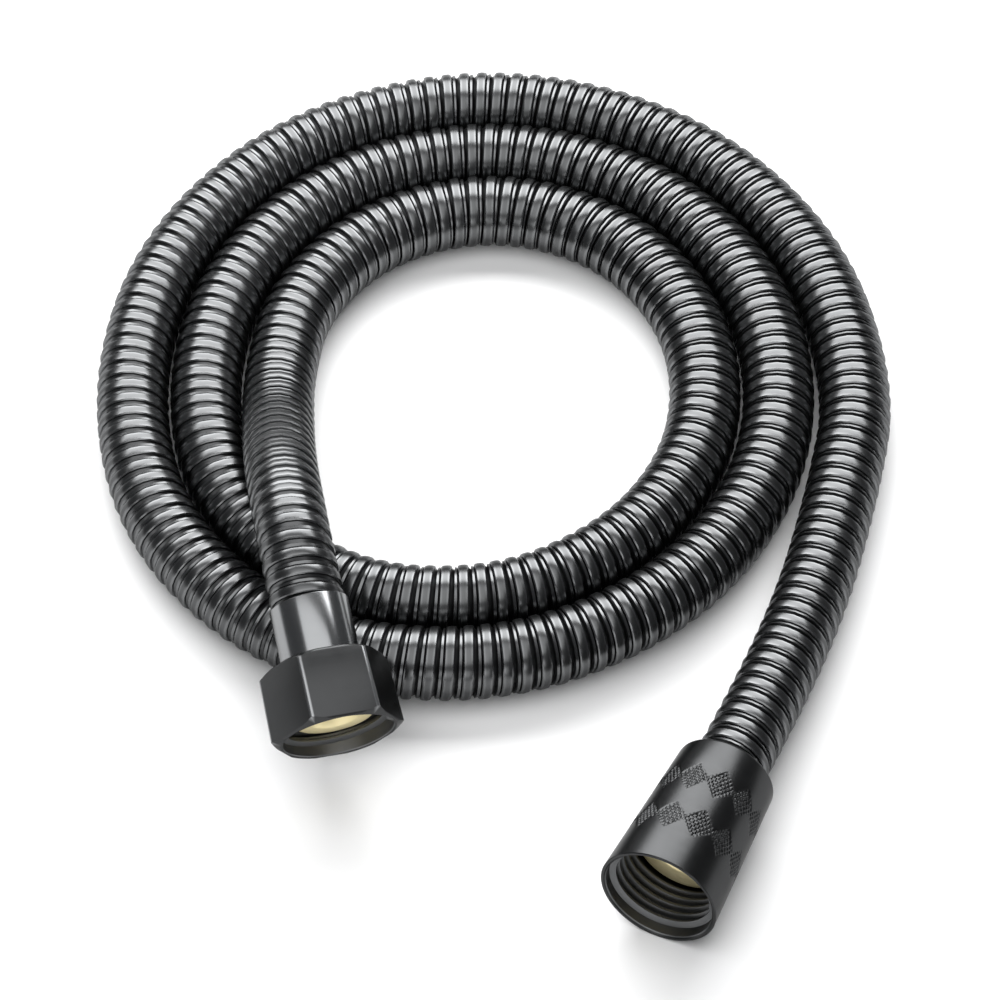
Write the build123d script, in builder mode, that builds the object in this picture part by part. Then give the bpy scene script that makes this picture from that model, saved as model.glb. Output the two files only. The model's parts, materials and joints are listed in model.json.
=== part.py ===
"""Stripwound shower hose, laid in a loose flat coil, with a hexagonal and a knurled union nut.

Millimetres, +Z up, floor at z = 0, origin under the middle of the whole part.
Each end has a brass tail, whose stem sits in the inner tube, a ferrule over the tail's neck and the
hose's end, and a union nut that turns freely on the ferrule and is kept on by the tail's flange.
"""

from build123d import *
from math import atan, cos, degrees, pi, radians, sin, sqrt, tan
import os

# hose, from the outside in
hose_od = 14.0
hose_wall = 1.05
braid_wall = 0.3
tube_wall = 1.4
layer_gap = 0.04  # between one layer of the hose and the next

# coil: laps follow one hand-laid shape, whose radii are at 12 directions from 180 degrees clockwise
coil_centre = (0.23, 22.63)
lap_radii = (41.4, 43.4, 46.0, 46.9, 45.0, 41.9, 40.4, 41.8, 45.4, 51.4, 56.9, 57.4)
lap_growth = (14.2, 14.2, 14.2, 14.2, 14.2, 14.2, 14.2, 14.4, 14.8, 14.8, 14.4, 14.2)
coil_first_step = 1
coil_last_step = 30

# hexagonal end: hangs over the laps, mouth down and towards the front
hex_ferrule_rear = (-34.2, -67.1, 24.8)  # from the coil's centre
hex_heading = 13.7  # degrees from -Y towards +X
hex_droop = 18.2  # degrees below level
hex_first_corner = 6.5  # from the ferrule's rear to the hose's first corner
hex_corners = (  # from the coil's centre
    (-38.2, -47.0, 27.0),
    (-40.1, -33.6, 22.6),
    (-41.1, -22.0, 16.4),
    (-41.7, -10.8, 10.9),
    (-42.0, 2.2, 7.7),
)

# knurled end: the nut lies on its side on the floor
knurl_rear = (42.4, -94.2)  # middle of the nut's rear, from the coil's centre
knurl_heading = -24.6  # degrees from -Y towards +X
knurl_last_corner = 13.6  # from the nut's rear to the hose's last corner
knurl_corners = (  # from the coil's centre
    (66.2, -26.8, 7.0),
    (59.2, -53.6, 7.2),
)

# G1/2 pipe thread, drawn as a plain wall at its minor diameter
thread_minor_d = 18.63
thread_depth = 1.165
mouth_relief = 0.8  # length of the wider mouth in front of the thread

# hexagonal nut
hex_wall = 0.52  # outside the thread, at the flats
hex_length = 14.0
hex_turn = 55.0  # degrees about its own axis
hex_draft = 1.5  # degrees, narrower towards the rear
hex_edge_round = 1.0
hex_bevel = 32.0  # degrees, of the cones that cut the corners at both ends
hex_front_inset = 0.1  # of the front cone's circle, from the flats
hex_rear_inset = 0.6
hex_rear_wall = 3.0

# knurled nut
knurl_mouth_wall = 0.82  # outside the thread
knurl_taper = 1.8  # of the radius, from the mouth to the rear
knurl_length = 31.5
knurl_rear_round = 0.8
groove_depth = 0.685  # of the groove behind the thread, where the flange turns
groove_lead = 0.5  # from the groove's front to the tail's face

# brass tails
tail_wall = 0.83  # of the stem, at its barbs
tail_countersink = 1.3
tail_barbs = 3
tail_barb_depth = 0.25
hex_stem_length = 7.0
knurl_stem_length = 15.0
hex_face_inset = 1.3  # of the face, from the flange's side
hex_face_depth = 3.5  # from the nut's mouth to the tail's face
knurl_face_inset = 1.2
knurl_face_depth = 10.6
flange_thickness = 2.6
flange_bevel = 0.8

# ferrules
ferrule_wall = 0.36
hex_ferrule_shown = 11.8  # behind the nut
hex_hose_in_ferrule = 7.5
knurl_ferrule_length = 15.6
knurl_neck_length = 1.5

# clearances
running_gap = 0.07  # nut on ferrule, on the radius
hex_flange_gap = 0.815  # flange in the thread, on the radius
knurl_flange_gap = 0.115
shoulder_gap = 0.4  # flange to the knurled nut's shoulder
hose_end_gap = 0.1  # hose's cut end to the tail's neck
stem_gap = 0.04  # stem in the inner tube, on the radius
sleeve_gap = 0.04  # hose and neck in the ferrule, on the radius
floor_gap = 0.02

hose_r = hose_od / 2
braid_r = hose_r - hose_wall - layer_gap
tube_r = braid_r - braid_wall - layer_gap
tube_bore_r = tube_r - tube_wall
stem_r = tube_bore_r - stem_gap
tail_bore_r = stem_r - tail_wall
ferrule_bore_r = hose_r + sleeve_gap
ferrule_r = ferrule_bore_r + ferrule_wall
nut_bore_r = ferrule_r + running_gap
minor_r = thread_minor_d / 2
major_r = minor_r + thread_depth
hex_flats_r = major_r + hex_wall
knurl_mouth_r = major_r + knurl_mouth_wall
knurl_rear_r = knurl_mouth_r - knurl_taper
knurl_cone = degrees(atan(knurl_taper / knurl_length))


def at_coil(x, y, z):
    """A point given from the coil's centre, in the part's frame."""
    return Vector(x + coil_centre[0], y + coil_centre[1], z)


def direction(heading, climb):
    """Unit vector at an angle from -Y towards +X, and an angle above level."""
    across = cos(radians(climb))
    return Vector(across * sin(radians(heading)), -across * cos(radians(heading)), sin(radians(climb)))


def end_plane(origin, out):
    """Plane whose z runs out of a nut's mouth, with its x level."""
    return Plane(origin=origin, x_dir=Vector(-out.Y, out.X, 0), z_dir=out)


# hexagonal end's frame, with z = 0 at the nut's mouth
hex_out = direction(hex_heading, -hex_droop)
hex_entry = at_coil(*hex_ferrule_rear)
hex_mouth = hex_entry + hex_out * (hex_ferrule_shown + hex_length)
hex_plane = end_plane(hex_mouth, hex_out)
hex_ferrule_end = -(hex_ferrule_shown + hex_length)
hex_flange_back = -(hex_face_depth + flange_thickness)
hex_cut = hex_ferrule_end + hex_hose_in_ferrule

# knurled end's frame: the cone lies on its side, with its rear and its mouth on the floor
knurl_out = direction(knurl_heading, knurl_cone)
knurl_rear_z = knurl_rear_r / cos(radians(knurl_cone)) + floor_gap
knurl_entry = at_coil(*knurl_rear, knurl_rear_z)
knurl_mouth = knurl_entry + knurl_out * knurl_length
knurl_plane = end_plane(knurl_mouth, knurl_out)
knurl_flange_back = -(knurl_face_depth + flange_thickness)
knurl_shoulder = knurl_flange_back - shoulder_gap
knurl_cut = knurl_flange_back - knurl_neck_length - hose_end_gap


def route(hex_end, knurl_end):
    """Corners of the hose's line, between two places given along the nuts' axes."""
    points = [hex_mouth + hex_out * hex_end, hex_entry - hex_out * hex_first_corner]
    points += [at_coil(*corner) for corner in hex_corners]
    steps = len(lap_radii)
    corner_over_curve = 1 / cos(pi / steps)
    for step in range(coil_first_step, coil_last_step + 1):
        lap, side = divmod(step, steps)
        radius = (lap_radii[side] + lap * lap_growth[side]) * corner_over_curve
        turn = pi - step * 2 * pi / steps
        points.append(at_coil(radius * cos(turn), radius * sin(turn), hose_r))
    points += [at_coil(*corner) for corner in knurl_corners]
    points += [knurl_entry - knurl_out * knurl_last_corner, knurl_mouth + knurl_out * knurl_end]
    return points


def corner_radii(points):
    """Each corner's arc uses 0.45 of the shorter run beside it."""
    radii = []
    for before, corner, after in zip(points, points[1:], points[2:]):
        shorter = min((corner - before).length, (after - corner).length)
        half_turn = radians((corner - before).get_angle(after - corner)) / 2
        radii.append(0.45 * shorter / tan(half_turn))
    return radii


def layer(outer_r, inner_r):
    """One layer of the hose, swept along its whole line."""
    with BuildPart() as tube:
        with BuildLine():
            FilletPolyline(*hose_line, radius=bend_radii)
        with BuildSketch(Plane(origin=hose_line[0], z_dir=hose_line[1] - hose_line[0])):
            Circle(outer_r)
            Circle(inner_r, mode=Mode.SUBTRACT)
        sweep()
    return tube


def tail(plane, face_depth, face_inset, flange_gap, neck_end, stem_length):
    """Brass tail: a flange whose face shows in the nut's mouth, a neck and a barbed stem, all bored."""
    flange_back = -(face_depth + flange_thickness)
    flange_r = minor_r - flange_gap
    barb_pitch = stem_length / tail_barbs
    outline = [
        (tail_bore_r, neck_end - stem_length),
        (tail_bore_r, -face_depth - tail_countersink),
        (tail_bore_r + tail_countersink, -face_depth),
        (flange_r - face_inset, -face_depth),
        (flange_r, -face_depth - flange_bevel),
        (flange_r, flange_back),
        (hose_r, flange_back),
        (hose_r, neck_end),
    ]
    for barb in range(tail_barbs):
        outline.append((stem_r, neck_end - barb * barb_pitch))
        outline.append((stem_r - tail_barb_depth, neck_end - (barb + 1) * barb_pitch))
    with BuildPart() as turned:
        with BuildSketch(Plane(origin=plane.origin, x_dir=plane.x_dir, z_dir=-plane.y_dir)):
            with BuildLine():
                Polyline(*outline, close=True)
            make_face()
        revolve(axis=Axis(plane.origin, plane.z_dir))
    return turned


def ferrule(plane, front, rear):
    """Thin sleeve over the tail's neck and the hose's end."""
    with BuildPart() as sleeve:
        with BuildSketch(plane.offset(rear)):
            Circle(ferrule_r)
            Circle(ferrule_bore_r, mode=Mode.SUBTRACT)
        extrude(amount=front - rear)
    return sleeve


# hose, whose layers are all cut where the tails' necks begin
hose_line = route(hex_cut, knurl_cut)
bend_radii = corner_radii(hose_line)
outer_hose = layer(hose_r, hose_r - hose_wall)
outer_hose.part.label = "outer_hose"
yarn_braid = layer(braid_r, braid_r - braid_wall)
yarn_braid.part.label = "yarn_braid"
inner_tube = layer(tube_r, tube_bore_r)
inner_tube.part.label = "inner_tube"

# hexagonal end
hex_tail = tail(
    hex_plane,
    hex_face_depth,
    hex_face_inset,
    hex_flange_gap,
    hex_cut + hose_end_gap,
    hex_stem_length,
)
hex_tail.part.label = "hex_tail"
hex_ferrule = ferrule(hex_plane, hex_flange_back, hex_ferrule_end)
hex_ferrule.part.label = "hex_ferrule"

corner_r = hex_flats_r * 2 / sqrt(3)
front_r = hex_flats_r - hex_front_inset
rear_r = hex_flats_r - hex_rear_inset
bevel_rise = tan(radians(hex_bevel))
with BuildPart() as hex_nut:
    with BuildSketch(hex_plane):
        RegularPolygon(hex_flats_r, 6, major_radius=False, rotation=hex_turn)
    extrude(amount=-hex_length, taper=hex_draft)
    along = hex_nut.edges().filter_by(lambda edge: abs(edge.tangent_at(0).dot(hex_out)) > 0.9)
    fillet(along, hex_edge_round)
    with BuildSketch(Plane(origin=hex_mouth, x_dir=hex_plane.x_dir, z_dir=-hex_plane.y_dir)):
        with BuildLine():
            Polyline(
                (0, 0),
                (front_r, 0),
                (corner_r, -(corner_r - front_r) * bevel_rise),
                (corner_r, (corner_r - rear_r) * bevel_rise - hex_length),
                (rear_r, -hex_length),
                (0, -hex_length),
                close=True,
            )
        make_face()
    revolve(axis=Axis(hex_mouth, hex_out), mode=Mode.INTERSECT)
    with BuildSketch(hex_plane):
        Circle(minor_r)
    extrude(amount=-(hex_length - hex_rear_wall), mode=Mode.SUBTRACT)
    with BuildSketch(hex_plane):
        Circle(major_r)
    extrude(amount=-mouth_relief, mode=Mode.SUBTRACT)
    with BuildSketch(hex_plane):
        Circle(nut_bore_r)
    extrude(amount=-hex_length, mode=Mode.SUBTRACT)
hex_nut.part.label = "hex_nut"

# knurled end
knurled_tail = tail(
    knurl_plane,
    knurl_face_depth,
    knurl_face_inset,
    knurl_flange_gap,
    knurl_cut + hose_end_gap,
    knurl_stem_length,
)
knurled_tail.part.label = "knurled_tail"
knurled_ferrule = ferrule(knurl_plane, knurl_flange_back, knurl_flange_back - knurl_ferrule_length)
knurled_ferrule.part.label = "knurled_ferrule"

with BuildPart() as knurled_nut:
    with BuildSketch(Plane(origin=knurl_mouth, x_dir=knurl_plane.x_dir, z_dir=-knurl_plane.y_dir)):
        with BuildLine():
            Polyline(
                (nut_bore_r, -knurl_length),
                (nut_bore_r, knurl_shoulder),
                (minor_r + groove_depth, knurl_shoulder),
                (minor_r + groove_depth, groove_lead - knurl_face_depth),
                (minor_r, groove_lead - knurl_face_depth),
                (minor_r, -mouth_relief),
                (major_r, -mouth_relief),
                (major_r, 0),
                (knurl_mouth_r, 0),
                (knurl_rear_r, -knurl_length),
                close=True,
            )
        make_face()
        rear_corner = knurl_plane.from_local_coords((knurl_rear_r, 0, -knurl_length))
        fillet(vertices().sort_by_distance(rear_corner)[0], knurl_rear_round)
    revolve(axis=Axis(knurl_mouth, knurl_out))
knurled_nut.part.label = "knurled_nut"

os.makedirs("parts", exist_ok=True)
pieces = (
    outer_hose,
    yarn_braid,
    inner_tube,
    hex_nut,
    hex_tail,
    hex_ferrule,
    knurled_nut,
    knurled_tail,
    knurled_ferrule,
)
for piece in pieces:
    export_step(piece.part, f"parts/{piece.part.label}.step")

print("bends", len(bend_radii), "radii", " ".join(f"{radius:.0f}" for radius in bend_radii))
print("smallest radius", round(min(bend_radii), 1), "in diameters", round(min(bend_radii) / hose_od, 2))
section = pi * (hose_r**2 - (hose_r - hose_wall) ** 2)
print("hose length", round(outer_hose.part.volume / section, 1))
for label, piece in (("outer hose", outer_hose), ("yarn braid", yarn_braid), ("inner tube", inner_tube)):
    print(label, "volume", round(piece.part.volume, 1))
print("whole part", Compound([piece.part for piece in pieces]).bounding_box())
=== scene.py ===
"""Looks of a stripwound shower hose in a loose flat coil, with a hexagonal and a knurled union nut."""

import json

from math import cos, pi, radians, sin, sqrt, tan

import bpy
import numpy as np
from mathutils import Matrix, Vector


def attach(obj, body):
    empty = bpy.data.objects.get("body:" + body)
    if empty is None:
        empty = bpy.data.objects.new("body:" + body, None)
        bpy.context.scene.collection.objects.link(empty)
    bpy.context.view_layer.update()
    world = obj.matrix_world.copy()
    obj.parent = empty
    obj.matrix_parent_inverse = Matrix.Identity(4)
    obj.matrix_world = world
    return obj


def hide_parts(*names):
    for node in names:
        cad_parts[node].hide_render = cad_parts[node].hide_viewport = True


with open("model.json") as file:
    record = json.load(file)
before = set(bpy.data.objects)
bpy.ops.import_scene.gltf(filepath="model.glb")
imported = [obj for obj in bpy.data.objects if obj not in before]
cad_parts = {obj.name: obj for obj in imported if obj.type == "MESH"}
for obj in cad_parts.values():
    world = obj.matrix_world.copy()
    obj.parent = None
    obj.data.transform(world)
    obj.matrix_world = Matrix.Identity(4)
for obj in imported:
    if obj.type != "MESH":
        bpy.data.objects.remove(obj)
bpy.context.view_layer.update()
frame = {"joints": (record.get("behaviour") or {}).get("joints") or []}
joints = {joint["name"]: joint for joint in frame["joints"]}
MM = 0.001

# ---------------------------------------------------------------- the hose's route, in metres
hose_r = 0.007
coil_centre = (0.00023, 0.02263)
# the first lap's distance from the centre in each of its 12 directions, and what each lap adds to it
lap_radii = (
    *(0.0414, 0.0434, 0.0460, 0.0469, 0.0450, 0.0419),
    *(0.0404, 0.0418, 0.0454, 0.0514, 0.0569, 0.0574),
)
lap_growth = (
    *(0.0142, 0.0142, 0.0142, 0.0142, 0.0142, 0.0142),
    *(0.0142, 0.0144, 0.0148, 0.0148, 0.0144, 0.0142),
)
coil_first_step = 1
coil_last_step = 30
# the bends between the coil and each end, from the coil's centre
hex_corners = (
    (-0.0382, -0.0470, 0.0270),
    (-0.0401, -0.0336, 0.0226),
    (-0.0411, -0.0220, 0.0164),
    (-0.0417, -0.0108, 0.0109),
    (-0.0420, 0.0022, 0.0077),
)
knurl_corners = (
    (0.0662, -0.0268, 0.0070),
    (0.0592, -0.0536, 0.0072),
)

# ---------------------------------------------------------------- the two ends' sizes, in metres
hex_length = 14.0 * MM
hex_flats = 22.0 * MM
hex_turn = radians(55)
hex_draft = radians(1.5)
hex_edge_round = 1.0 * MM
hex_bevel = radians(32)
hex_front_inset = 0.1 * MM
hex_rear_inset = 0.6 * MM
hex_rear_wall = 3.0 * MM
hex_ferrule_shown = 11.8 * MM
hex_first_corner = 6.5 * MM
hex_hose_in_ferrule = 7.5 * MM
hex_face_depth = 3.5 * MM
knurl_length = 31.5 * MM
knurl_mouth_r = 11.3 * MM
knurl_rear_r = 9.5 * MM
knurl_face_depth = 10.6 * MM
knurl_last_corner = 13.6 * MM
knurl_ferrule_length = 15.6 * MM
knurl_neck_length = 1.5 * MM
shoulder_gap = 0.4 * MM
flange_thickness = 2.6 * MM
hose_end_gap = 0.1 * MM
ferrule_r = 7.4 * MM
ferrule_bore_r = 7.04 * MM
nut_bore_r = 7.47 * MM
thread_minor_r = 9.315 * MM
thread_major_r = 10.48 * MM
thread_pitch = 1.814 * MM
mouth_relief = 0.8 * MM
relief_r = 10.0 * MM
relief_lead = 0.5 * MM
tail_bore_r = 3.3 * MM
tail_countersink_r = 4.6 * MM
stem_r = 4.13 * MM
hex_flange_r = 8.5 * MM
hex_face_r = 7.2 * MM
hex_stem_length = 7.0 * MM
knurl_flange_r = 9.2 * MM
knurl_face_r = 7.8 * MM
knurl_stem_length = 15.0 * MM
flange_cone = 0.8 * MM


def mouth_frame(joint_name, length):
    """A nut's own frame as a matrix, with its origin in the middle of the mouth and +Z out of it."""
    joint = joints[joint_name]
    out = Vector(joint["axis"]).normalized()
    mouth = Vector(joint["pos_m"]) + out * length / 2
    level = Vector((-out.y, out.x, 0)).normalized()
    turn = Matrix((level, out.cross(level), out)).transposed().to_4x4()
    return Matrix.Translation(mouth) @ turn, mouth, out


hex_frame, hex_mouth, hex_out = mouth_frame("hex_nut_swivel", hex_length)
knurl_frame, knurl_mouth, knurl_out = mouth_frame("knurled_nut_swivel", knurl_length)
hex_ferrule_end = -(hex_ferrule_shown + hex_length)
hex_flange_back = -(hex_face_depth + flange_thickness)
hex_cut = hex_ferrule_end + hex_hose_in_ferrule
knurl_flange_back = -(knurl_face_depth + flange_thickness)
knurl_cut = knurl_flange_back - knurl_neck_length - hose_end_gap


def at_coil(x, y, z):
    """A point given from the coil's centre, in the part's frame."""
    return Vector((x + coil_centre[0], y + coil_centre[1], z))


def route():
    """The hose's line from its cut end at the hexagonal nut to its cut end at the knurled nut."""
    points = [hex_mouth + hex_out * hex_cut, hex_mouth + hex_out * (hex_ferrule_end - hex_first_corner)]
    points += [at_coil(*corner) for corner in hex_corners]
    steps = len(lap_radii)
    for step in range(coil_first_step, coil_last_step + 1):
        lap, side = divmod(step, steps)
        radius = (lap_radii[side] + lap * lap_growth[side]) / cos(pi / steps)
        turn = pi - step * 2 * pi / steps
        points.append(at_coil(radius * cos(turn), radius * sin(turn), hose_r))
    points += [at_coil(*corner) for corner in knurl_corners]
    points.append(knurl_mouth - knurl_out * (knurl_length + knurl_last_corner))
    points.append(knurl_mouth + knurl_out * knurl_cut)
    return points


# ---------------------------------------------------------------- camera
def add_camera(aim, distance, elevation, lens):
    """A camera that looks along +Y and down at a point."""
    data = bpy.data.cameras.new("camera")
    data.lens = lens
    data.sensor_width = 36
    camera = bpy.data.objects.new("camera", data)
    camera.location = Vector(aim) + Vector((0, -cos(elevation), sin(elevation))) * distance
    camera.rotation_euler = (pi / 2 - elevation, 0, 0)
    bpy.context.scene.collection.objects.link(camera)
    bpy.context.scene.camera = camera


add_camera(aim=(0.0012, -0.0049, 0.007), distance=1.05, elevation=radians(51), lens=198)


# ---------------------------------------------------------------- materials
class Value:
    """A shader's output socket that takes part in Python's arithmetic."""

    def __init__(self, finish, socket):
        self.finish = finish
        self.socket = socket

    def math(self, operation, *others):
        return self.finish.node("ShaderNodeMath", {"operation": operation}, [self, *others]).value(0)

    def __add__(self, other):
        return self.math("ADD", other)

    def __sub__(self, other):
        return self.math("SUBTRACT", other)

    def __mul__(self, other):
        return self.math("MULTIPLY", other)

    def __rsub__(self, other):
        return (self * -1) + other

    def between(self, low, high):
        """0 below low, 1 above high and smooth between them."""
        settings = {"interpolation_type": "SMOOTHSTEP"}
        inputs = {"Value": self, "From Min": low, "From Max": high}
        return self.finish.node("ShaderNodeMapRange", settings, inputs).value("Result")


class Node:
    """A shader node whose outputs are read as values."""

    def __init__(self, finish, node):
        self.finish = finish
        self.made = node

    def value(self, name):
        return Value(self.finish, self.made.outputs[name])


class Finish:
    """A material built around one Principled shader."""

    def __init__(self, name, **constants):
        self.material = bpy.data.materials.new(name)
        self.material.use_nodes = True
        self.tree = self.material.node_tree
        self.shader = self.tree.nodes["Principled BSDF"]
        for socket, value in constants.items():
            self.feed(self.shader.inputs[socket.replace("_", " ")], value)

    def feed(self, socket, value):
        """Gives a socket a link or a constant."""
        if isinstance(value, Value):
            self.tree.links.new(value.socket, socket)
        else:
            socket.default_value = value

    def node(self, kind, settings=None, inputs=()):
        """Makes a node of a type, with its settings first and then its sockets' values or links."""
        made = self.tree.nodes.new(kind)
        for name, value in (settings or {}).items():
            setattr(made, name, value)
        pairs = inputs.items() if isinstance(inputs, dict) else enumerate(inputs)
        for name, value in pairs:
            self.feed(made.inputs[name], value)
        return Node(self, made)

    def kept(self, attribute):
        """Coordinates kept on a piece's mesh."""
        return self.node("ShaderNodeAttribute", {"attribute_name": attribute}).value("Vector")

    def edge(self):
        """How far a point lies on an edge that gets a painted highlight, 0 to 1, kept on a piece's mesh."""
        return self.node("ShaderNodeAttribute", {"attribute_name": "edge"}).value("Fac")

    def parts(self, vector):
        """The three numbers of a vector."""
        split = self.node("ShaderNodeSeparateXYZ", None, [vector])
        return split.value("X"), split.value("Y"), split.value("Z")

    def scaled(self, vector, scale):
        """A vector with each of its numbers scaled."""
        return self.node("ShaderNodeMapping", None, {"Vector": vector, "Scale": scale}).value("Vector")

    def noise(self, vector, scale, detail=3.0):
        inputs = {"Vector": vector, "Scale": scale, "Detail": detail, "Roughness": 0.5}
        return self.node("ShaderNodeTexNoise", None, inputs).value("Fac")

    def mix(self, share, first, second):
        """A colour between two, by share; the node's colour sockets are told apart by number."""
        return self.node("ShaderNodeMix", {"data_type": "RGBA"}, {0: share, 6: first, 7: second}).value(2)

    def bump(self, height, distance, strength):
        inputs = {"Height": height, "Distance": distance, "Strength": strength}
        self.feed(self.shader.inputs["Normal"], self.node("ShaderNodeBump", None, inputs).value("Normal"))

    def set(self, socket, value):
        self.feed(self.shader.inputs[socket], value)


def grey(level, tint=(1.0, 1.0, 1.0)):
    """An RGBA colour of one level, slightly tinted."""
    return (level * tint[0], level * tint[1], level * tint[2], 1.0)


COOL = (0.98, 1.0, 1.02)
PALE_BRASS = (0.80, 0.69, 0.38, 1.0)
BRIGHT_BRASS = (0.88, 0.79, 0.50, 1.0)
BORE_BROWN = (0.34, 0.13, 0.03, 1.0)
WEAVE_TURN = 2200.0  # radians a metre
MOUTH_DEPTH = 10 * MM  # the dull part of a nut's inside, then its fade
MOUTH_FADE = 2 * MM


def black_strip():
    """Satin black steel strip: fine lines along the winding, and a painted highlight that makes the band
    edges a little brighter.
    """
    finish = Finish("black_strip", Metallic=1.0, Specular_Tint=grey(0.55))
    winding = finish.kept("winding")
    edge = finish.edge()
    lines = finish.noise(finish.scaled(winding, (2600.0, 90.0, 1.0)), 1.0, 2.0)
    cloud = finish.noise(winding, 180.0)
    # painted highlight: a lighter base colour on the band edges stands in for thin bright lines of light
    painted_highlight = edge * (cloud * 0.5 + 0.6)
    finish.set("Base Color", finish.mix(painted_highlight, grey(0.082, COOL), grey(0.15, COOL)))
    finish.set("Roughness", lines * 0.04 + cloud * 0.06 + 0.24 - edge * 0.03)
    finish.bump(lines, 0.004 * MM, 0.5)
    return finish.material


def black_nut():
    """Satin black coat with faint turning lines, a painted highlight on the corners and duller inside the
    mouth.
    """
    finish = Finish("black_nut", Metallic=1.0, Specular_Tint=grey(0.6))
    own = finish.kept("own")
    lines = finish.noise(finish.scaled(own, (60.0, 60.0, 2400.0)), 1.0, 2.0)
    cloud = finish.noise(own, 420.0, 4.0)
    x, y, z = finish.parts(own)
    radius = (x * x + y * y).math("SQRT")
    inside = 1.0 - radius.between(thread_major_r + 0.02 * MM, thread_major_r + 0.08 * MM)
    mouth = inside * z.between(-MOUTH_DEPTH - MOUTH_FADE, -MOUTH_DEPTH)
    # painted highlight: the rounded corners marked on the mesh get a much lighter base colour
    outside = finish.mix(finish.edge(), grey(0.045, COOL), grey(0.26, COOL))
    finish.set("Base Color", finish.mix(mouth, outside, grey(0.15, COOL)))
    finish.set("Roughness", cloud * 0.10 + lines * 0.05 + mouth * 0.12 + 0.23)
    finish.bump(lines * 0.6 + cloud * 0.4, 0.004 * MM, 0.4)
    return finish.material


def black_ferrule():
    """Glossy black sleeve, drawn and polished."""
    finish = Finish("black_ferrule", Metallic=1.0, Specular_Tint=grey(0.7))
    own = finish.kept("own")
    drawn = finish.noise(finish.scaled(own, (900.0, 900.0, 30.0)), 1.0, 2.0)
    cloud = finish.noise(own, 260.0)
    finish.set("Base Color", finish.mix(cloud, grey(0.21, COOL), grey(0.24, COOL)))
    finish.set("Roughness", cloud * 0.05 + drawn * 0.04 + 0.15)
    finish.bump(drawn, 0.003 * MM, 0.3)
    return finish.material


def turned_brass():
    """Bare brass with the fine rings of a lathe tool, darker and browner down its bore."""
    finish = Finish("turned_brass", Metallic=0.75)
    own = finish.kept("own")
    x, y, _ = finish.parts(own)
    radius = (x * x + y * y).math("SQRT")
    rings = {"W": radius, "Scale": 5200.0, "Detail": 2.0}
    ring = finish.node("ShaderNodeTexNoise", {"noise_dimensions": "1D"}, rings).value("Fac")
    cloud = finish.noise(own, 700.0)
    bore = 1.0 - radius.between(tail_bore_r - 0.05 * MM, tail_bore_r + 0.10 * MM)
    face = finish.mix(cloud, PALE_BRASS, BRIGHT_BRASS)
    finish.set("Base Color", finish.mix(bore, face, BORE_BROWN))
    finish.set("Roughness", cloud * 0.10 + ring * 0.10 + 0.36)
    finish.bump(ring, 0.006 * MM, 0.5)
    return finish.material


def woven_yarn():
    """White braided yarn: two families of strands crossing over and under."""
    finish = Finish("woven_yarn", Roughness=0.8)
    along, around, _ = finish.parts(finish.kept("winding"))
    right = ((along + around) * WEAVE_TURN).math("SINE")
    left = ((along - around) * WEAVE_TURN).math("SINE")
    weave = right.math("MAXIMUM", left)
    finish.set("Base Color", finish.mix(weave.between(-0.4, 1.0), grey(0.35), grey(0.78)))
    finish.bump(weave, 0.1 * MM, 0.8)
    return finish.material


def tube_rubber():
    """Smooth dark rubber."""
    finish = Finish("tube_rubber")
    cloud = finish.noise(finish.kept("winding"), 300.0)
    finish.set("Base Color", finish.mix(cloud, grey(0.02), grey(0.045)))
    finish.set("Roughness", cloud * 0.2 + 0.45)
    return finish.material


def white_floor():
    """Matt white card."""
    finish = Finish("white_card", Specular_IOR_Level=0.0, Roughness=1.0)
    cloud = finish.noise(finish.node("ShaderNodeTexCoord").value("Object"), 3.0, 2.0)
    finish.set("Base Color", finish.mix(cloud, grey(0.86), grey(0.88)))
    return finish.material


# ---------------------------------------------------------------- the hose
LINE_STEP = 0.5 * MM
DIRECTION_WINDOW = 2 * MM
BEND_WINDOW = 15 * MM
MERGED = 1e-7  # vertices closer than this are one, in metres
SMOOTH_LIMIT = radians(28)  # edges sharper than this stay sharp
hose_steps = 21  # round the hose
layer_steps = 16  # round each layer inside it
ring_gap = 4 * MM  # between rings of the plain walls
strip_pitch = 3.4 * MM
band_width = 2.10 * MM
# the strip's section: on the wide band (place, height), then on the rest of the pitch (share, height)
band_section = (
    (0.00 * MM, -0.60 * MM),
    (0.08 * MM, -0.24 * MM),
    (0.30 * MM, -0.07 * MM),
    (0.75 * MM, 0.0),
    (1.35 * MM, 0.0),
    (1.80 * MM, -0.07 * MM),
    (2.02 * MM, -0.24 * MM),
    (2.10 * MM, -0.60 * MM),
)
band_edges = (1, 2, 5, 6)
rest_section = (
    (0.06, -0.74 * MM),
    (0.13, -0.44 * MM),
    (0.46, -0.36 * MM),
    (0.54, -0.62 * MM),
    (0.60, -1.02 * MM),
)
rest_edges = (9, 10)
strip_end_r = 6.2 * MM
strip_inner_r = 5.97 * MM
braid_outer_r = 5.91 * MM
braid_inner_r = 5.61 * MM
tube_outer_r = 5.57 * MM
tube_inner_r = 4.17 * MM


def add_line(name, points):
    """A NURBS spline with the route's points as its control points."""
    curve = bpy.data.curves.new(name, "CURVE")
    curve.dimensions = "3D"
    curve.resolution_u = 24
    spline = curve.splines.new("NURBS")
    spline.points.add(len(points) - 1)
    for control, point in zip(spline.points, points):
        control.co = (*point, 1)
    spline.order_u = 3
    spline.use_endpoint_u = True
    line = bpy.data.objects.new(name, curve)
    bpy.context.scene.collection.objects.link(line)
    bpy.context.view_layer.update()
    return line


def read_line(line):
    """The points of a curve with no bevel; the curve itself is then removed."""
    mesh = bpy.data.meshes.new_from_object(line)
    points = np.array([vertex.co[:] for vertex in mesh.vertices])
    bpy.data.objects.remove(line)
    bpy.data.meshes.remove(mesh)
    return points


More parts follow.
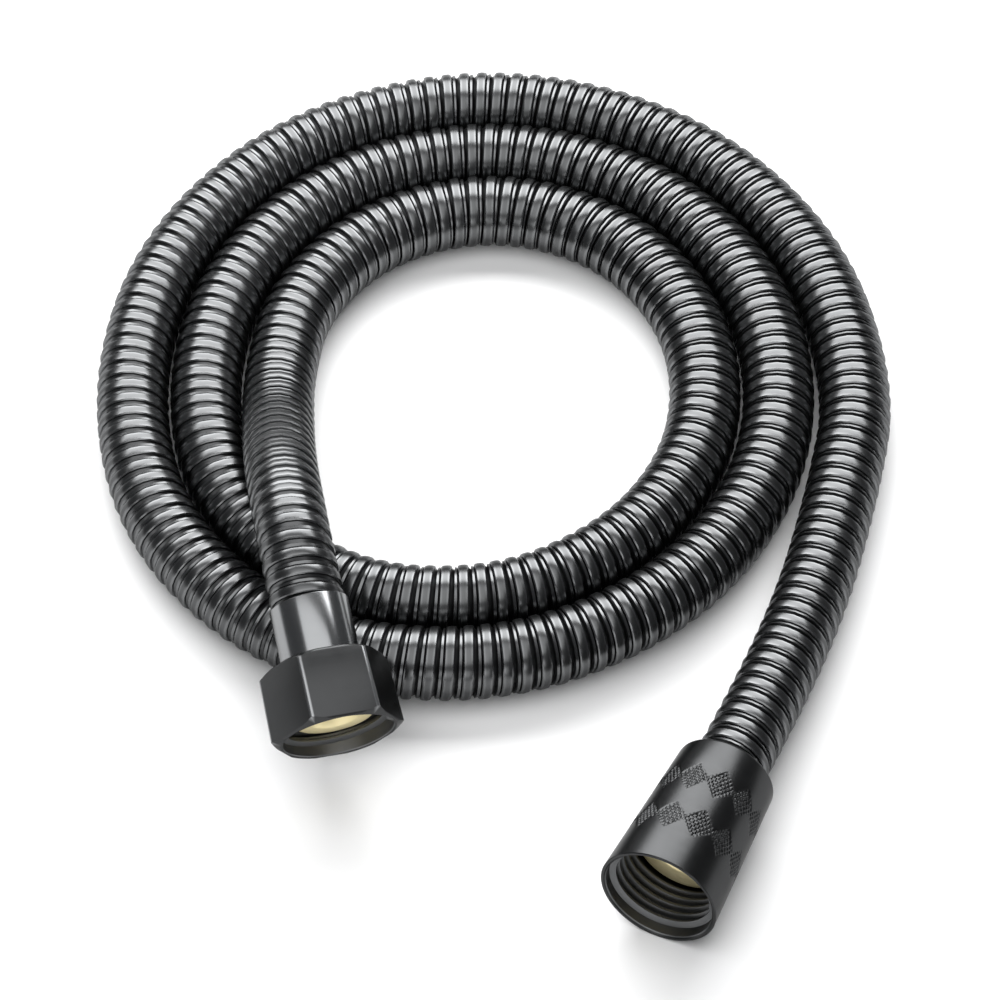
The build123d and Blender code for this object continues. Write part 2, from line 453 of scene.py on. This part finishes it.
class Line:
    """The hose's middle line, at even steps, with its directions, its bends and its length."""

    def __init__(self, points):
        lengths = np.linalg.norm(np.diff(points, axis=0), axis=1)
        reached = np.concatenate(([0], np.cumsum(lengths)))
        self.length = float(reached[-1])
        count = round(self.length / LINE_STEP) + 1
        self.at = np.linspace(0, self.length, count)
        self.points = np.stack([np.interp(self.at, reached, points[:, axis]) for axis in range(3)], 1)
        step = self.at[1]
        ahead = self.smooth(np.gradient(self.points, step, axis=0), DIRECTION_WINDOW)
        self.ahead = ahead / np.linalg.norm(ahead, axis=1, keepdims=True)
        self.bend = self.smooth(np.gradient(self.ahead, step, axis=0), BEND_WINDOW)
        side = np.cross(self.ahead, (0.0, 0.0, 1.0))
        self.side = side / np.linalg.norm(side, axis=1, keepdims=True)
        self.up = np.cross(self.side, self.ahead)

    def smooth(self, values, window):
        """Running mean over a window, with the ends held."""
        half = round(window / self.at[1] / 2)
        padded = np.pad(values, ((half, half), (0, 0)), mode="edge")
        sums = np.cumsum(np.pad(padded, ((1, 0), (0, 0))), axis=0)
        width = 2 * half + 1
        return (sums[width:] - sums[:-width]) / width

    def read(self, values, along):
        """Values of the line at distances along it."""
        return np.stack([np.interp(along, self.at, values[:, axis]) for axis in range(3)], -1)

    def outward(self, along, around):
        """Unit vectors from the line, at distances along it and angles around it."""
        side = self.read(self.side, along)
        up = self.read(self.up, along)
        return side * np.cos(around)[..., None] + up * np.sin(around)[..., None]

    def surface(self, along, around, radius):
        """Points at distances along the line, angles around it and radii from it."""
        return self.read(self.points, along) + self.outward(along, around) * np.asarray(radius)[..., None]


def grid_faces(rows, columns, first=0):
    """Quads of a grid of vertices, whose rows close on themselves."""
    faces = []
    for row in range(rows - 1):
        for column in range(columns):
            following = (column + 1) % columns
            here = first + row * columns
            above = here + columns
            faces.append((here + column, here + following, above + following, above + column))
    return faces


def pick(*pieces):
    """Selects these pieces alone, with the first one active."""
    bpy.ops.object.select_all(action="DESELECT")
    for piece in pieces:
        piece.select_set(True)
    bpy.context.view_layer.objects.active = pieces[0]


def keep_vectors(mesh, name, vectors):
    """Keeps one vector for each vertex, for the finishes to read."""
    kept = mesh.attributes.new(name, "FLOAT_VECTOR", "POINT")
    kept.data.foreach_set("vector", np.asarray(vectors, np.float32).ravel())


def keep_highlight_edges(mesh, marks):
    """Keeps how far each vertex lies on an edge that gets a painted highlight, 0 to 1."""
    mesh.attributes.new("edge", "FLOAT", "POINT").data.foreach_set("value", np.asarray(marks, np.float32))


def places_of(mesh):
    """The places of a mesh's vertices, one row for each."""
    places = np.zeros(len(mesh.vertices) * 3, np.float32)
    mesh.vertices.foreach_get("co", places)
    return places.reshape(-1, 3)


def merge_and_face_out(threshold, degenerate=False):
    """Merges the vertices that meet and turns every face outwards, in edit mode."""
    bpy.ops.mesh.select_all(action="SELECT")
    bpy.ops.mesh.remove_doubles(threshold=threshold)
    if degenerate:
        bpy.ops.mesh.dissolve_degenerate(threshold=threshold)
        bpy.ops.mesh.select_all(action="SELECT")
    bpy.ops.mesh.normals_make_consistent(inside=False)


def mesh_piece(name, vertices, faces, winding, edge=None):
    """A mesh object with its winding coordinates, merged and with its faces outwards."""
    mesh = bpy.data.meshes.new(name)
    mesh.from_pydata([tuple(v) for v in vertices], [], faces)
    keep_vectors(mesh, "winding", winding)
    if edge is not None:
        keep_highlight_edges(mesh, edge)
    piece = bpy.data.objects.new(name, mesh)
    bpy.context.scene.collection.objects.link(piece)
    pick(piece)
    bpy.ops.object.mode_set(mode="EDIT")
    merge_and_face_out(MERGED, degenerate=True)
    bpy.ops.object.mode_set(mode="OBJECT")
    bpy.ops.object.shade_smooth_by_angle(angle=SMOOTH_LIMIT)
    return piece


def wound_strip(line):
    """The outer hose: one strip wound into a tube, whose bands spread on the outside of a bend."""
    section = len(band_section) + len(rest_section)
    turns = int(line.length / strip_pitch) + 2
    columns = np.arange(-hose_steps, turns * hose_steps + 1)
    start = columns * strip_pitch / hose_steps
    around = columns * 2 * pi / hose_steps
    within = np.clip(start, 0, line.length)
    # how much longer the hose's surface is here than its middle line
    spread = 1 - hose_r * np.sum(line.read(line.bend, within) * line.outward(within, around), axis=1)
    band = band_width / spread
    along = [start + place / spread for place, _ in band_section]
    along += [start + band + (strip_pitch - band) * share for share, _ in rest_section]
    along = np.stack(along, 1)
    radius = np.array([hose_r + height for _, height in band_section + rest_section])
    radius = np.broadcast_to(radius, along.shape)
    radius = np.where((along <= 0) | (along >= line.length), strip_end_r, radius)
    along = np.clip(along, 0, line.length)
    angles = np.broadcast_to(around[:, None], along.shape)
    vertices = line.surface(along, angles, radius).reshape(-1, 3)
    # marks for the painted highlight: full on the wide band's corners and 0.7 on the rest's corners
    edge = np.zeros(along.shape)
    edge[:, band_edges] = 1.0
    edge[:, rest_edges] = 0.7
    faces = []
    for column in range(len(columns) - 1):
        here = column * section
        for place in range(section - 1):
            faces.append((here + place, here + place + 1, here + section + place + 1, here + section + place))
        joined = here + hose_steps * section
        if column + hose_steps + 1 < len(columns):
            faces.append((here + section - 1, joined, joined + section, here + 2 * section - 1))
    # inner wall and the two cut ends
    rings = round(line.length / ring_gap)
    wall_along = np.repeat(np.linspace(0, line.length, rings), hose_steps)
    wall_around = np.tile(np.arange(hose_steps) * 2 * pi / hose_steps, rings)
    wall = line.surface(wall_along, wall_around, np.full(len(wall_along), strip_inner_r))
    first = len(vertices)
    faces += grid_faces(rings, hose_steps, first)
    last_column = (len(columns) - 1 - hose_steps) // hose_steps * hose_steps
    for step in range(hose_steps):
        following = (step + 1) % hose_steps
        near = (step * section, following * section)
        faces.append((near[0], near[1], first + following, first + step))
        far = ((last_column + step) * section, (last_column + following) * section)
        end = first + (rings - 1) * hose_steps
        faces.append((far[0], far[1], end + following, end + step))
    winding = np.stack([along, angles * hose_r, np.zeros(along.shape)], -1).reshape(-1, 3)
    wall_winding = np.stack([wall_along, wall_around * hose_r, np.zeros(len(wall_along))], -1)
    return mesh_piece(
        "wound_strip",
        np.concatenate([vertices, wall]),
        faces,
        np.concatenate([winding, wall_winding]),
        np.concatenate([edge.ravel(), np.zeros(len(wall))]),
    )


def inner_layer(name, line, outer_r, inner_r):
    """A plain layer of the hose under the strip, closed at its two cut ends."""
    rings = round(line.length / ring_gap)
    along = np.linspace(0, line.length, rings)
    along = np.concatenate([along, along[::-1], along[:1]])
    radius = np.concatenate([np.full(rings, outer_r), np.full(rings, inner_r), [outer_r]])
    around = np.arange(layer_steps) * 2 * pi / layer_steps
    along, angles = np.broadcast_arrays(along[:, None], around[None, :])
    vertices = line.surface(along, angles, np.broadcast_to(radius[:, None], along.shape)).reshape(-1, 3)
    winding = np.stack([along, angles * outer_r, np.zeros(along.shape)], -1).reshape(-1, 3)
    return mesh_piece(name, vertices, grid_faces(2 * rings + 1, layer_steps), winding)


hose_line = Line(read_line(add_line("hose_line", route())))
hose = wound_strip(hose_line)
hose.data.materials.append(black_strip())
braid = inner_layer("braided_yarn", hose_line, braid_outer_r, braid_inner_r)
braid.data.materials.append(woven_yarn())
tube = inner_layer("rubber_tube", hose_line, tube_outer_r, tube_inner_r)
tube.data.materials.append(tube_rubber())


# ---------------------------------------------------------------- turned and cut pieces
ROUND_STEPS = 96
THREAD_STEPS = 64
THREAD_TURNS = 5
thread_wall_r = thread_major_r - 0.1 * MM
thread_root_depth = 0.15 * MM  # how far the ridge reaches into the nut's wall
thread_half_root = 0.42  # of the pitch
thread_half_crest = 0.10  # of the pitch
mouth_lead = 0.25 * MM
sleeve_rim_round = 0.15 * MM
tail_edge_round = 0.1 * MM


def ring_body(name, outline, steps=ROUND_STEPS):
    """A round body about +Z: a circle pushed round a closed outline of (radius, height) points."""
    bpy.ops.object.select_all(action="DESELECT")
    radius, height = outline[0]
    bpy.ops.mesh.primitive_circle_add(vertices=steps, radius=radius, location=(0, 0, height))
    piece = bpy.context.object
    piece.name = name
    bpy.ops.object.transform_apply(location=True)
    bpy.ops.object.mode_set(mode="EDIT")
    bpy.ops.mesh.select_all(action="SELECT")
    for next_radius, next_height in [*outline[1:], outline[0]]:
        bpy.ops.mesh.extrude_region_move(TRANSFORM_OT_translate={"value": (0, 0, next_height - height)})
        share = next_radius / radius
        bpy.ops.transform.resize(value=(share, share, 1), center_override=(0, 0, next_height))
        radius, height = next_radius, next_height
    merge_and_face_out(10 * MERGED)
    bpy.ops.object.mode_set(mode="OBJECT")
    return piece


def apply_modifier(piece, kind, **settings):
    """Adds a modifier, sets it and applies it."""
    pick(piece)
    modifier = piece.modifiers.new(kind.lower(), kind)
    for name, value in settings.items():
        setattr(modifier, name, value)
    bpy.ops.object.modifier_apply(modifier=modifier.name)


def round_edges(piece, width, segments=2, limit=30):
    """Rounds every edge that is sharper than a limit."""
    apply_modifier(
        piece, "BEVEL", width=width, segments=segments, limit_method="ANGLE", angle_limit=radians(limit)
    )


def cut(piece, tool, operation="DIFFERENCE"):
    """Cuts a piece with a tool body, which is then removed."""
    apply_modifier(piece, "BOOLEAN", operation=operation, object=tool, solver="EXACT")
    bpy.data.objects.remove(tool)


def thread_ridge():
    """One closed ridge that winds up the wall of a nut's threaded hole, from behind its mouth."""
    bpy.ops.object.select_all(action="DESELECT")
    bpy.ops.mesh.primitive_plane_add(size=1)
    ridge = bpy.context.object
    ridge.name = "ridge"
    start = -mouth_relief - thread_pitch / 2
    half_root = thread_pitch * thread_half_root
    half_crest = thread_pitch * thread_half_crest
    root_r = thread_wall_r + thread_root_depth
    corners = {
        0: (root_r, -half_root),
        1: (root_r, half_root),
        3: (thread_minor_r, half_crest),
        2: (thread_minor_r, -half_crest),
    }
    for vertex, (radius, height) in corners.items():
        ridge.data.vertices[vertex].co = (radius, 0, start + height)
    apply_modifier(
        ridge,
        "SCREW",
        axis="Z",
        angle=2 * pi,
        screw_offset=-thread_pitch,
        iterations=THREAD_TURNS,
        steps=THREAD_STEPS,
        render_steps=THREAD_STEPS,
        use_normal_calculate=False,
        use_merge_vertices=False,
    )
    bpy.ops.object.mode_set(mode="EDIT")
    merge_and_face_out(MERGED)
    bpy.ops.object.mode_set(mode="OBJECT")
    return ridge


def join(piece, *others):
    """Joins other pieces into the first."""
    pick(piece, *others)
    bpy.ops.object.join()


def put_in_place(piece, matrix, material):
    """Moves a piece from its own frame, whose coordinates it keeps, to its place, and gives it its finish."""
    keep_vectors(piece.data, "own", places_of(piece.data))
    pick(piece)
    piece.matrix_world = matrix
    bpy.ops.object.transform_apply(location=True, rotation=True, scale=True)
    bpy.ops.object.shade_smooth_by_angle(angle=SMOOTH_LIMIT)
    piece.data.materials.clear()
    piece.data.materials.append(material)
    return piece


# ---------------------------------------------------------------- hexagonal end
hex_lead_depth = 0.35 * MM
hex_rim_round = 0.14 * MM
hex_highlight_r = 12.43 * MM  # the corners outside this radius at the mouth get a painted highlight
hex_highlight_fade = 0.10 * MM


def hexagonal_nut(material):
    """Hexagonal union nut: tapered flats, rounded corners, both ends turned to a cone, thread inside."""
    corner_r = hex_flats / sqrt(3)
    bpy.ops.object.select_all(action="DESELECT")
    bpy.ops.mesh.primitive_cylinder_add(
        vertices=6,
        radius=corner_r,
        depth=hex_length,
        location=(0, 0, -hex_length / 2),
        rotation=(0, 0, hex_turn - pi / 6),
    )
    nut = bpy.context.object
    nut.name = "hexagonal_nut"
    bpy.ops.object.transform_apply(location=True, rotation=True)
    bpy.ops.object.mode_set(mode="EDIT")
    bpy.ops.mesh.select_all(action="DESELECT")
    bpy.ops.object.mode_set(mode="OBJECT")
    for vertex in nut.data.vertices:
        vertex.select = vertex.co.z < -hex_length / 2
    bpy.ops.object.mode_set(mode="EDIT")
    narrowing = 1 - hex_length * tan(hex_draft) / (hex_flats / 2)
    bpy.ops.transform.resize(value=(narrowing, narrowing, 1), center_override=(0, 0, -hex_length))
    bpy.ops.mesh.select_all(action="DESELECT")
    bpy.ops.object.mode_set(mode="OBJECT")
    for edge in nut.data.edges:
        ends = [nut.data.vertices[i].co.z for i in edge.vertices]
        edge.select = abs(ends[0] - ends[1]) > hex_length / 2
    bpy.ops.object.mode_set(mode="EDIT")
    bpy.ops.mesh.select_mode(type="EDGE")
    bpy.ops.mesh.bevel(offset=hex_edge_round * tan(pi / 6), segments=6, affect="EDGES")
    bpy.ops.mesh.select_mode(type="VERT")
    bpy.ops.object.mode_set(mode="OBJECT")
    front_r = hex_flats / 2 - hex_front_inset
    rear_r = hex_flats / 2 - hex_rear_inset
    rise = tan(hex_bevel)
    cones = ring_body(
        "cones",
        [
            (nut_bore_r, 0),
            (front_r, 0),
            (corner_r, -(corner_r - front_r) * rise),
            (corner_r, (corner_r - rear_r) * rise - hex_length),
            (rear_r, -hex_length),
            (nut_bore_r, -hex_length),
        ],
    )
    cut(nut, cones, "INTERSECT")
    bore = ring_body(
        "bore",
        [
            (nut_bore_r / 2, 1 * MM),
            (thread_major_r + mouth_lead, 1 * MM),
            (thread_major_r + mouth_lead, 0),
            (thread_wall_r, -hex_lead_depth),
            (thread_wall_r, hex_rear_wall - hex_length),
            (nut_bore_r / 2, hex_rear_wall - hex_length),
        ],
    )
    cut(nut, bore)
    round_edges(nut, hex_rim_round, limit=24)
    join(nut, thread_ridge())
    # marks the rounded corners near the mouth for the painted highlight in the nut's finish
    x, y, z = places_of(nut.data).astype(float).T
    at_mouth = np.hypot(x, y) / (1 + z * tan(hex_draft) / (hex_flats / 2))
    keep_highlight_edges(nut.data, np.clip((at_mouth - hex_highlight_r) / hex_highlight_fade, 0, 1))
    return put_in_place(nut, hex_frame, material)


def sleeve(name, matrix, front, rear, material):
    """Thin drawn sleeve with both rims rounded."""
    body = ring_body(
        name, [(ferrule_bore_r, front), (ferrule_r, front), (ferrule_r, rear), (ferrule_bore_r, rear)]
    )
    round_edges(body, sleeve_rim_round, segments=3)
    return put_in_place(body, matrix, material)


def brass_tail(name, matrix, outline, material):
    """Turned brass tail with small rounded edges."""
    body = ring_body(name, outline)
    round_edges(body, tail_edge_round, limit=20)
    return put_in_place(body, matrix, material)


def tail_outline(face_depth, flange_r, face_rings, neck_end, stem_length):
    """A tail's outline from the bore's far end, over the face, to the stem's end."""
    back = -(face_depth + flange_thickness)
    return [
        (tail_bore_r, neck_end - stem_length),
        (tail_bore_r, -face_depth - (tail_countersink_r - tail_bore_r)),
        (tail_countersink_r, -face_depth),
        *[(radius, depth - face_depth) for radius, depth in face_rings],
        (flange_r, back),
        (hose_r, back),
        (hose_r, neck_end),
        (stem_r, neck_end),
        (stem_r, neck_end - stem_length),
    ]


nut_finish = black_nut()
brass_finish = turned_brass()
ferrule_finish = black_ferrule()

hex_nut_piece = hexagonal_nut(nut_finish)
hex_sleeve = sleeve("hexagonal_sleeve", hex_frame, hex_flange_back, hex_ferrule_end, ferrule_finish)
hex_face = [(hex_face_r, 0.0), (hex_flange_r, -flange_cone)]
hex_tail = brass_tail(
    "hexagonal_tail",
    hex_frame,
    tail_outline(hex_face_depth, hex_flange_r, hex_face, hex_cut + hose_end_gap, hex_stem_length),
    brass_finish,
)


# ---------------------------------------------------------------- knurled end
KNURL_STEPS = 480
KNURL_GAP = 0.15 * MM
knurl_rows = (-21.3 * MM, -11.0 * MM)
knurl_half_height = 3.6 * MM
knurl_half_width = 1.30  # of half a patch's share of the turn, so that neighbours touch
knurl_rim_fade = 5  # the larger, the sharper a patch's rim
knurl_count = 12
knurl_lean = radians(32)
knurl_spacing = 0.72 * MM
knurl_depth = 0.13 * MM
groove_width = 1.35  # the larger, the wider the grooves are against the ridges
groove_shape = 0.8
knurl_turn = radians(15)
knurl_skin = 0.05 * MM  # vertices this far or less inside the cone belong to its surface
knurl_lead_depth = 0.4 * MM
knurl_rim = 0.15 * MM
knurl_rear_round = 0.8 * MM
knurl_rear_steps = 4
face_groove = 0.15 * MM


def cone_r(height):
    """The knurled nut's outer radius at a height, which is 0 at the mouth and negative behind it."""
    return knurl_mouth_r + (knurl_mouth_r - knurl_rear_r) * height / knurl_length


def knurled_nut(material):
    """Tapered union nut with two rows of diamond knurl patches, and a thread inside its mouth."""
    outline = [
        (nut_bore_r, -knurl_length),
        (nut_bore_r, knurl_flange_back - shoulder_gap),
        (relief_r, knurl_flange_back - shoulder_gap),
        (relief_r, relief_lead - knurl_face_depth),
        (thread_wall_r, relief_lead - knurl_face_depth),
        (thread_wall_r, -knurl_lead_depth),
        (thread_major_r + mouth_lead, 0),
        (knurl_mouth_r - knurl_rim, 0),
        (cone_r(-knurl_rim), -knurl_rim),
    ]
    for row in reversed(knurl_rows):
        count = round(2 * (knurl_half_height + KNURL_GAP) / KNURL_GAP)
        for step in range(count + 1):
            height = row + knurl_half_height + KNURL_GAP - step * KNURL_GAP
            outline.append((cone_r(height), height))
    for step in range(knurl_rear_steps + 1):
        angle = step * pi / (2 * knurl_rear_steps)
        height = -knurl_length + knurl_rear_round * (1 - sin(angle))
        outline.append((cone_r(height) - knurl_rear_round * (1 - cos(angle)), height))
    nut = ring_body("knurled_nut_shell", outline, KNURL_STEPS)
    cut_knurls(nut.data)
    join(nut, thread_ridge())
    return put_in_place(nut, knurl_frame, material)


def cut_knurls(mesh):
    """Presses the two rows of diamond patches into the cone, each with two families of crossing grooves."""
    places = places_of(mesh).astype(float)
    radius = np.hypot(places[:, 0], places[:, 1])
    turn = np.arctan2(places[:, 1], places[:, 0]) - knurl_turn
    outside = radius > cone_r(places[:, 2]) - knurl_skin
    depth = np.zeros(len(places))
    sector = 2 * pi / knurl_count
    for row in knurl_rows:
        up = places[:, 2] - row
        middle_r = cone_r(row)
        across = ((turn + sector / 2) % sector - sector / 2) * middle_r
        half_width = sector / 2 * middle_r * knurl_half_width
        inside = 1 - np.abs(up) / knurl_half_height - np.abs(across) / half_width
        mask = np.clip(inside * knurl_rim_fade, 0, 1)
        groove = np.zeros(len(places))
        for lean in (knurl_lean, -knurl_lean):
            phase = (turn * middle_r * cos(lean) - up * sin(lean)) / knurl_spacing
            family = np.clip(groove_width * np.cos(phase * 2 * pi), 0, 1) ** groove_shape
            groove = np.maximum(groove, family)
        depth += mask * groove * knurl_depth
    depth *= outside
    share = 1 - depth / radius
    places[:, 0] *= share
    places[:, 1] *= share
    mesh.vertices.foreach_set("co", places.ravel())
    mesh.update()


knurled_piece = knurled_nut(nut_finish)
knurl_sleeve = sleeve(
    "knurled_sleeve", knurl_frame, knurl_flange_back, knurl_flange_back - knurl_ferrule_length, ferrule_finish
)
knurl_face = [
    (knurl_face_r, 0.0),
    (knurl_face_r + 0.1 * MM, -face_groove),
    (knurl_face_r + 0.3 * MM, -face_groove),
    (knurl_flange_r, -flange_cone),
]
knurl_tail = brass_tail(
    "knurled_end_tail",
    knurl_frame,
    tail_outline(knurl_face_depth, knurl_flange_r, knurl_face, knurl_cut + hose_end_gap, knurl_stem_length),
    brass_finish,
)


# ---------------------------------------------------------------- floor and light
def add_floor(size):
    """The card that the hose lies on."""
    bpy.ops.object.select_all(action="DESELECT")
    bpy.ops.mesh.primitive_plane_add(size=size, location=(0, 0, 0))
    floor = bpy.context.object
    floor.name = "floor"
    floor.data.materials.append(white_floor())


def add_softbox(name, place, aim, width, depth, brightness):
    """A soft light of a given brightness, turned towards a point."""
    data = bpy.data.lights.new(name, "AREA")
    data.shape = "RECTANGLE"
    data.size = width
    data.size_y = depth
    data.energy = brightness * pi * width * depth
    light = bpy.data.objects.new(name, data)
    light.location = place
    light.rotation_euler = (Vector(aim) - Vector(place)).to_track_quat("-Z", "Y").to_euler()
    light.visible_camera = False
    bpy.context.scene.collection.objects.link(light)


add_floor(6.0)
add_softbox("back_softbox", (-0.065, 0.64, 0.45), (-0.065, 0.64, 0), 0.97, 0.86, 7.5)
add_softbox("front_softbox", (-0.08, -0.20, 0.45), (-0.08, -0.20, 0), 0.56, 0.50, 2.2)
add_softbox("low_front_softbox", (-0.15, -0.95, 0.30), (0, 0, 0.02), 0.9, 0.34, 2.2)
world = bpy.data.worlds.new("studio")
world.use_nodes = True
background = world.node_tree.nodes["Background"].inputs
background["Color"].default_value = (0.8, 0.82, 0.85, 1)
background["Strength"].default_value = 0.18
bpy.context.scene.world = world
bpy.context.scene.view_settings.view_transform = "Standard"

# ---------------------------------------------------------------- what each piece stands for
pieces = (
    (hose, "hose", "outer_hose", "black_strip"),
    (braid, "hose", "yarn_braid", "yarn"),
    (tube, "hose", "inner_tube", "tube"),
    (hex_tail, "hose", "hex_tail", "brass"),
    (hex_sleeve, "hose", "hex_ferrule", "black_ferrule"),
    (knurl_tail, "hose", "knurled_tail", "brass"),
    (knurl_sleeve, "hose", "knurled_ferrule", "black_ferrule"),
    (hex_nut_piece, "hex_union_nut", "hex_nut", "black_nut"),
    (knurled_piece, "knurled_union_nut", "knurled_nut", "black_nut"),
)
for piece, body, node, slot in pieces:
    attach(piece, body)
    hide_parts(node)
